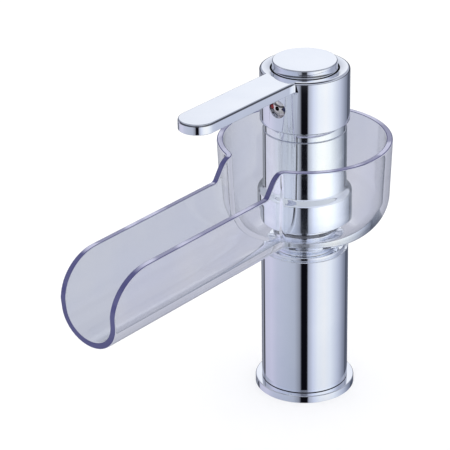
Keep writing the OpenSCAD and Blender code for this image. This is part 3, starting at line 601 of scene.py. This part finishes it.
# Rim faces that look up are painted lighter, in patches, as a painted highlight from the light above.
painted_top_highlight = step(cut_tree, "MULTIPLY", between(cut_tree, cut_slope.outputs[2], 0.94, 0.998),
               between(cut_tree, highlight_cloud.outputs["Fac"], 0.46, 0.6, 1.0, 0.35))
cut_tree.links.new(mixed(cut_tree, painted_top_highlight, painted_edge_violet, shade(184, 185, 210)), cut_colour)
bpy.ops.object.select_all(action="DESELECT")
bpy.ops.mesh.primitive_grid_add(x_subdivisions=len(rows[0]) - 1, y_subdivisions=len(rows) - 1, size=0.1)
trough = bpy.context.object
trough.name = "trough"
for i, vertex in enumerate(trough.data.vertices):
    row, column = divmod(i, len(rows[0]))
    vertex.co = Vector(rows[row][column]) * mm
bpy.ops.object.mode_set(mode="EDIT")
floor_front = corner_at(trough_z)[1] - 0.01
picked(trough, lambda ends: all(end.z < trough_z + 0.01 and end.y > floor_front for end in ends))
for inward in (1 / 3, 1 / 2, 1):
    bpy.ops.mesh.extrude_edges_move(TRANSFORM_OT_translate={"value": (0, 0, 0)})
    skin = bmesh.from_edit_mesh(trough.data)
    for vertex in skin.verts:
        if vertex.select:
            reach = vertex.co.xy.length
            vertex.co.xy *= (reach + (hub_hole * mm - reach) * inward) / reach
    bmesh.update_edit_mesh(trough.data)
bpy.ops.object.mode_set(mode="OBJECT")
bpy.ops.object.modifier_add(type="MIRROR")
trough.modifiers[-1].merge_threshold = merge_gap * mm
bpy.ops.object.modifier_apply(modifier=trough.modifiers[-1].name)
bpy.ops.object.mode_set(mode="EDIT")
bpy.ops.mesh.select_all(action="SELECT")
bpy.ops.mesh.remove_doubles(threshold=merge_gap * mm)
bpy.ops.mesh.normals_make_consistent(inside=False)
bpy.ops.object.mode_set(mode="OBJECT")
underside = [face for face in trough.data.polygons if face.center.z / mm < trough_z + 0.2]
if sum(face.normal.z * face.area for face in underside) > 0:
    bpy.ops.object.mode_set(mode="EDIT")
    bpy.ops.mesh.flip_normals()
    bpy.ops.object.mode_set(mode="OBJECT")
trough.data.materials.append(clear_plastic)
trough.data.materials.append(painted_edge_light)
bpy.ops.object.modifier_add(type="SOLIDIFY")
trough.modifiers[-1].thickness = trough_wall * mm
trough.modifiers[-1].offset = -1
trough.modifiers[-1].use_even_offset = True
trough.modifiers[-1].material_offset_rim = 1
bpy.ops.object.modifier_apply(modifier=trough.modifiers[-1].name)
bpy.ops.object.mode_set(mode="EDIT")
bpy.ops.mesh.select_all(action="DESELECT")
bpy.ops.mesh.edges_select_sharp(sharpness=radians(50))
bpy.ops.mesh.bevel(offset=rim_round * mm, segments=4, affect="EDGES")
bpy.ops.object.mode_set(mode="OBJECT")
smoothed(trough, angle=45)
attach(trough, "body")
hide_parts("trough")


# Upper gasket and outlet ring. A clear rubber ring on the trough's floor, and round it a turned
# and chromed ring whose eight milled slots let the water out under the collar.
floor_z = trough_z + trough_wall
inner_r, inner_top = 16.5, 95.4
ring_r, ring_top = 18.5, 98.8
slot_count, slot_long, slot_wide, slot_high, slot_middle = 8, 9, 3.6, 5.2, 17.9


def cut(piece, tool, operation="DIFFERENCE"):
    """Cuts a piece with another, or adds it on, and removes the other."""
    bpy.ops.object.select_all(action="DESELECT")
    piece.select_set(True)
    bpy.context.view_layer.objects.active = piece
    bpy.ops.object.modifier_add(type="BOOLEAN")
    piece.modifiers[-1].operation = operation
    piece.modifiers[-1].object = tool
    piece.modifiers[-1].solver = "EXACT"
    bpy.ops.object.modifier_apply(modifier=piece.modifiers[-1].name)
    bpy.data.objects.remove(tool)


def block(width, deep, high, middle, tilt=0, turn=0):
    """A plain square cutter, in mm."""
    bpy.ops.object.select_all(action="DESELECT")
    bpy.ops.mesh.primitive_cube_add(size=mm, location=[v * mm for v in middle],
                                    rotation=(radians(tilt), 0, radians(turn)))
    bpy.ops.transform.resize(value=(width, deep, high), orient_type="LOCAL")
    return bpy.context.object


upper_gasket = turned("upper_gasket", [
    (hub_hole, floor_z), (inner_r, floor_z), (inner_r, inner_top), (hub_hole, inner_top)], edge=0.2)
placed(upper_gasket, clear_rubber, "body", "clear_rubber", "upper_gasket")
outlet_ring = turned("outlet_ring", [
    (hub_hole, inner_top), (inner_r + 0.05, inner_top), (inner_r + 0.05, floor_z), (ring_r, floor_z),
    (ring_r, ring_top), (hub_hole, ring_top)])
for i in range(slot_count):
    slot_turn = 360 / slot_count * (i + 0.5)
    slot_x, slot_y = slot_middle * cos(radians(slot_turn)), slot_middle * sin(radians(slot_turn))
    cut(outlet_ring, block(slot_long, slot_wide, slot_high, (slot_x, slot_y, ring_top), turn=slot_turn))
smoothed(outlet_ring, 35)
placed(outlet_ring, chrome, "body", "chrome", "outlet_ring")


# Upper body. A chromed brass casting with a collar that clamps the trough, a smooth shoulder
# above it and a turned bore for the manifold and the cartridge, threaded at the top.
upper_r, upper_top, collar_r, collar_top, shoulder_high = 21.8, 149.0, 24.65, 114.5, 3.7
thread_bore, cartridge_bore, nut_foot, nut_bore = 12.95, 17.55, 141, 18.75
shoulder = [(upper_r + (collar_r - upper_r) * (1 + cos(pi * i / 10)) / 2, collar_top + shoulder_high * i / 10)
            for i in range(11)]
upper_body = turned("upper_body", [(thread_bore, ring_top), (collar_r, ring_top)] + shoulder + [
    (upper_r, upper_top), (nut_bore, upper_top), (nut_bore, nut_foot), (cartridge_bore, nut_foot),
    (cartridge_bore, hub_top), (thread_bore, hub_top)], edge=0.5)
placed(upper_body, chrome, "body", "chrome", "upper_body")


# Manifold. A bored brass block in the upper body's foot. It leads both supplies up to the
# cartridge and the mixed water down and out, and three rubber rings seal its ports.
dressed(brass, "manifold")
dressed(rubber, "port_seals")


# Cartridge. A moulded plastic base and housing hold two lapped ceramic discs. The upper disc slides
# in its carrier, which the ball on the steel stem drives as the stem rocks on its pin in the rotor.
cream_plastic = finish("cartridge_plastic", shade(232, 230, 222), shade(218, 216, 206), metallic=0.0,
                       rough=0.34, spread=0.14, grain=800.0, depth=0.1)
dressed(cream_plastic, "cartridge_base", "cartridge_housing")
ceramic = finish("ceramic", shade(246, 245, 240), shade(238, 236, 230), metallic=0.0, rough=0.12,
                 spread=0.1, grain=1600.0, depth=0.03)
dressed(ceramic, "fixed_disc", "moving_disc")
blue_plastic = finish("carrier_plastic", shade(84, 132, 186), shade(66, 112, 168), metallic=0.0,
                      rough=0.32, spread=0.14, grain=800.0, depth=0.1)
dressed(blue_plastic, "disc_carrier")
steel = finish("steel", shade(206, 207, 210), shade(180, 182, 187), metallic=1.0, rough=0.18,
               spread=0.16, grain=520.0, depth=0.08)
dressed(steel, "rotor", "pivot_pin", "stem")
dressed(rubber, "rotor_seal")
dressed(brass, "retaining_nut")


# Dress ring. A thin turned and chromed brass ring that hides the cartridge's nut. It stands on
# the upper body, just under the handle.
dress_r, dress_wall, dress_top, stem_hole = 21.4, 1.2, 153.4, 12.1
dress_ring = turned("dress_ring", [
    (dress_r - dress_wall, upper_top), (dress_r, upper_top), (dress_r, dress_top),
    (stem_hole, dress_top), (stem_hole, dress_top - dress_wall),
    (dress_r - dress_wall, dress_top - dress_wall)], edge=0.3)
placed(dress_ring, chrome, "body", "chrome", "dress_ring")


# Handle. A chromed zinc casting in one piece: a round skirt with a rounded rim, a flat lever that
# grows out of its top edge, a dished seat for the cap, a hub on the stem and a bored boss for the
# index plug. The wall of the seat's groove is painted dark as painted shade.
skirt_r, skirt_low, skirt_bore, web_low = 23.245, 154.1, 21.72, 176.5
brim_r, brim_low, brim_high = 21.75, 181.05, 1.35
recess_r, recess_floor, dish_fall, dish_curl = 17.85, 178.5, 0.36, 0.24
lever_half, lever_low, handle_top, lever_reach = 9.8, 177.0, 182.6, 94.4
root_bend, root_round, recess_round, edge_round = radians(25), 0.9, 0.12, 0.4
pivot_z, lean_degrees, plug_z = 149, 10, 166.5
socket_r, socket_long, socket_low, socket_top, trim = 8.0, 34, 160.1, 177.5, 22
boss_wide, boss_long, boss_y = 13.06, 20.0, -12.3
shank_hole, shank_long, shank_half = 8.1, 27.3, 3.9
plug_bore, plug_seat, plug_reach, mouth_round = 5.0, -17.7, 12, 0.2
screw_hole, screw_reach, screw_inset = 2.05, 14, 1.9
peg_ring, peg_hole, peg_reach = 12.85, 1.45, 6
lean = radians(lean_degrees)
brim_top = brim_low + brim_high
recess_top = brim_top - dish_fall - dish_curl


def rod(radius, length, middle, tilt, sides=96):
    """A plain round cutter, in mm, with its length turned back from upright by tilt degrees."""
    bpy.ops.object.select_all(action="DESELECT")
    bpy.ops.mesh.primitive_cylinder_add(
        vertices=sides, radius=radius * mm, depth=length * mm, location=[v * mm for v in middle],
        rotation=(radians(tilt), 0, 0))
    return bpy.context.object


def up_stem(distance):
    """A place on the middle line of the leaning stem, in mm, at a distance above its pivot."""
    return 0, -sin(lean) * distance, pivot_z + cos(lean) * distance


def at_root(ends):
    """Whether an edge stands upright where the lever's side meets the skirt."""
    upright = (ends[0].xy - ends[1].xy).length < 0.4 and abs(ends[0].z - ends[1].z) > 0.1
    return upright and all(abs(abs(end.x) - skirt_r * sin(root_bend)) < 0.25 and -21.5 < end.y < -20.5
                           and end.z > lever_low - 0.1 for end in ends)


brim = [(brim_r + (skirt_r - brim_r) * cos(radians(bend)), brim_low + brim_high * sin(radians(bend)))
        for bend in range(0, 91, 15)]
dish = [(brim_r - (brim_r - recess_r) * share, brim_top - dish_fall * share - dish_curl * share ** 2)
        for share in (0.1, 0.25, 0.4, 0.55, 0.7, 0.85, 1)]
handle = turned("handle", [
    (socket_r, web_low), (skirt_bore, web_low), (skirt_bore, skirt_low), (skirt_r, skirt_low),
    (skirt_r, lever_low)] + brim + dish + [(recess_r, recess_floor), (socket_r, recess_floor)],
    bored=False)
bpy.ops.object.mode_set(mode="EDIT")
bpy.ops.mesh.select_mode(type="FACE")
bpy.ops.mesh.select_all(action="DESELECT")
shell = bmesh.from_edit_mesh(handle.data)
for face in shell.faces:
    middle = face.calc_center_median() / mm
    on_band = middle.z > lever_low and middle.xy.length > brim_r + 0.01
    face.select_set(on_band and middle.y < 0 and abs(atan2(middle.x, -middle.y)) < root_bend)
bmesh.update_edit_mesh(handle.data)

# The lever is drawn out of the skirt's band in six rows. Its cross-section is given by pairs of
# an inset from its side and a height, and each row by its place and its drop.
lever_edge = [
    (0, lever_low), (0, handle_top - 1.3), (0.015, handle_top - 1.18), (0.25, handle_top - 0.4),
    (0.32, handle_top - 0.22), (0.42, handle_top - 0.1), (0.56, handle_top - 0.03), (0.75, handle_top)]
end_y = lever_half - lever_reach
lever_rows = [(-25.0, 0.14), (-31.0, 0.06), (-48.0, 0), (-66.0, 0), (end_y + 2.2, 0), (end_y, 0)]
for row_y, drop in lever_rows:
    bpy.ops.mesh.extrude_region_move(TRANSFORM_OT_translate={"value": (0, 0, 0)})
    shell = bmesh.from_edit_mesh(handle.data)
    face_points = sorted((v for v in shell.verts if v.select), key=lambda v: (round(v.co.z / mm, 2), v.co.x))
    columns = len(face_points) // len(lever_edge)
    for i, vertex in enumerate(face_points):
        share = 2 * (i % columns) / (columns - 1) - 1
        inset, level = lever_edge[i // columns]
        half = lever_half - inset
        round_end = row_y == end_y
        vertex.co.x = half * (sin(pi / 2 * share) if round_end else share) * mm
        vertex.co.y = (row_y - (half * cos(pi / 2 * share) if round_end else 0)) * mm
        vertex.co.z = (level - (drop if level > lever_low else 0)) * mm
    bmesh.update_edit_mesh(handle.data)
picked(handle, at_root)
bpy.ops.mesh.bevel(offset=root_round * mm, segments=4, affect="EDGES", clamp_overlap=False)
picked(handle, lambda ends: all(
    abs(end.xy.length - recess_r) < 0.02 and end.z > recess_top - 0.3 for end in ends))
bpy.ops.mesh.bevel(offset=recess_round * mm, segments=3, affect="EDGES")
bpy.ops.object.mode_set(mode="OBJECT")
rounded(handle, edge_round, sharpest=35)
smoothed(handle, 40)
bpy.ops.object.duplicate()
plain_handle = bpy.context.object
plain_handle.name = "plain_handle"
socket = rod(socket_r, socket_long, up_stem(socket_long / 2), lean_degrees)
cut(socket, block(60, 60, trim, (0, 0, socket_low - trim / 2)))
cut(socket, block(60, 60, trim, (0, 0, socket_top + trim / 2)))
cut(socket, block(boss_wide, boss_long, boss_wide, (0, boss_y, plug_z)), "UNION")
cut(handle, socket, "UNION")
cut(handle, block(shank_hole, shank_hole, shank_long, up_stem(shank_long / 2), lean_degrees))
cut(handle, rod(plug_bore, plug_reach, (0, plug_seat - plug_reach / 2, plug_z), 90))
screw_line = Vector((0, -cos(lean), -sin(lean)))
screw_up = (skirt_r - screw_inset) * sin(lean) + (plug_z - pivot_z) * cos(lean)
screw_middle = Vector(up_stem(screw_up)) + screw_line * (shank_half + screw_reach / 2)
cut(handle, rod(screw_hole, screw_reach, screw_middle, 90 + lean_degrees, sides=48))
peg_places = [(peg_ring * cos(radians(turn)), peg_ring * sin(radians(turn))) for turn in (90, 210, 330)]
for x, y in peg_places:
    cut(handle, rod(peg_hole, peg_reach, (x, y, recess_floor - 1), 0, sides=40))
bpy.ops.object.mode_set(mode="EDIT")
picked(handle, lambda ends: all(
    abs(hypot(end.x, end.z - plug_z) - plug_bore) < 0.03 and end.y < -22.4 for end in ends))
bpy.ops.mesh.bevel(offset=mouth_round * mm, segments=3, affect="EDGES", clamp_overlap=False)
bpy.ops.object.mode_set(mode="OBJECT")
smoothed(handle, 40)

# The cuts leave long thin faces on the skirt's front, so its smooth shading comes from the copy
# that was made before them.
skirt_front = handle.vertex_groups.new(name="front")
skirt_front.add([v.index for v in handle.data.vertices if abs(v.co.xy.length / mm - skirt_r) < 0.035
                 and v.co.y < 0 and skirt_low + 0.8 < v.co.z / mm < lever_low - 1], 1.0, "REPLACE")
bpy.ops.object.modifier_add(type="DATA_TRANSFER")
borrow = handle.modifiers[-1]
borrow.object = plain_handle
borrow.use_loop_data = True
borrow.data_types_loops = {"CUSTOM_NORMAL"}
borrow.loop_mapping = "POLYINTERP_NEAREST"
borrow.vertex_group = "front"
bpy.ops.object.modifier_apply(modifier=borrow.name)
bpy.data.objects.remove(plain_handle)
placed(handle, chrome, "lever", "chrome", "handle")
# The wall of the seat's groove is painted dark as painted shade.
faced(handle, painted_groove_shade, lambda middle: (
    recess_r - 0.15 < middle.xy.length < recess_r + 0.1
    and recess_floor + 0.1 < middle.z < recess_top - 0.2))


# Grub screw. A steel screw with a hexagon socket, screwed into the handle behind the plug. It
# clamps the handle on the stem's square shank.
dressed(steel, "grub_screw")


# Index plug. A domed, softly polished metal disc that closes the screw's bore. It has a round
# hole at its middle, painted black inside as painted shade, and two seats for the red and blue marks.
plug_r, plug_back, plug_long, dome_r, dome_edge = 4.95, -17.945, 5.005, 6.4, 4.85
hole_r, hole_mouth, hole_edge, hole_floor, hole_lip = 1.2, 1.25, 4.85, 1.7, -22.75
mark_aside, mark_r, mark_reach, mark_floor = 3.6, 1.12, 6, -20.2
edge_bend = asin(dome_edge / dome_r)
hole_bend = asin(hole_mouth / dome_r)
dome_bends = [edge_bend + (hole_bend - edge_bend) * i / 16 for i in range(17)]
dome = [(dome_r * sin(bend), plug_long - dome_r * (1 - cos(bend))) for bend in dome_bends]
index_plug = turned("index_plug", [(plug_r, 0), (plug_r, dome[0][1] - 0.08)] + dome + [
    (hole_r, hole_edge), (hole_r, hole_floor)], sides=72, edge=0.05, bored=False)
index_plug.rotation_euler = (pi / 2, 0, 0)
index_plug.location = (0, plug_back * mm, plug_z * mm)
bpy.ops.object.transform_apply(location=True, rotation=True, scale=True)
for side in (-mark_aside, mark_aside):
    cut(index_plug, rod(mark_r, mark_reach, (side, mark_floor - mark_reach / 2, plug_z), 90, sides=32))
smoothed(index_plug, 35)
satin = finish("satin_plug", shade(250, 244, 238), shade(236, 229, 222), metallic=1.0, rough=0.06,
               spread=0.05, grain=1400.0, depth=0.06)
placed(index_plug, satin, "lever", "satin_plug", "index_plug")
# The hole's inside takes the black rubber finish as painted shade.
faced(index_plug, rubber, lambda middle: (
    hypot(middle.x, middle.z - plug_z) < hole_mouth and middle.y > hole_lip))
red_mark = finish("red_mark", shade(146, 16, 30), shade(120, 12, 22), metallic=0.0, rough=0.22,
                  spread=0.1, grain=500.0, depth=0.05)
dressed(red_mark, "hot_mark")
blue_mark = finish("blue_mark", shade(18, 28, 78), shade(14, 22, 64), metallic=0.0, rough=0.22,
                   spread=0.1, grain=500.0, depth=0.05)
dressed(blue_mark, "cold_mark")


# Handle cap. A turned brass disc, chromed, whose flared side sinks into the handle's top. Three
# pegs on its underside push into holes in the handle, and its foot is painted dark as painted shade.
cap_r, cap_flare, cap_high, cap_shoulder = 16.68, 0.42, 3.6, 185.6
cap_round, cap_round_high = 0.48, 0.6
peg_r, peg_long, peg_z = 1.4, 2.6, 177.7
cap_side = [(cap_r + cap_flare * share ** 4, cap_shoulder - cap_high * share)
            for share in (1, 0.9, 0.8, 0.7, 0.6, 0.45, 0.25)]
cap_bends = [pi / 2 * i / 5 for i in range(6)]
cap_edge = [(cap_r - cap_round * (1 - cos(bend)), cap_shoulder + cap_round_high * sin(bend))
            for bend in cap_bends]
handle_cap = turned("handle_cap", [(cap_r + cap_flare, recess_floor)] + cap_side + cap_edge, bored=False)
for x, y in peg_places:
    cut(handle_cap, rod(peg_r, peg_long, (x, y, peg_z), 0, sides=40), "UNION")
smoothed(handle_cap)
placed(handle_cap, chrome, "lever", "chrome", "handle_cap")
# The cap's foot, down in the groove, is painted dark as painted shade.
faced(handle_cap, painted_groove_shade, lambda middle: middle.xy.length > 17 and middle.z < 182)
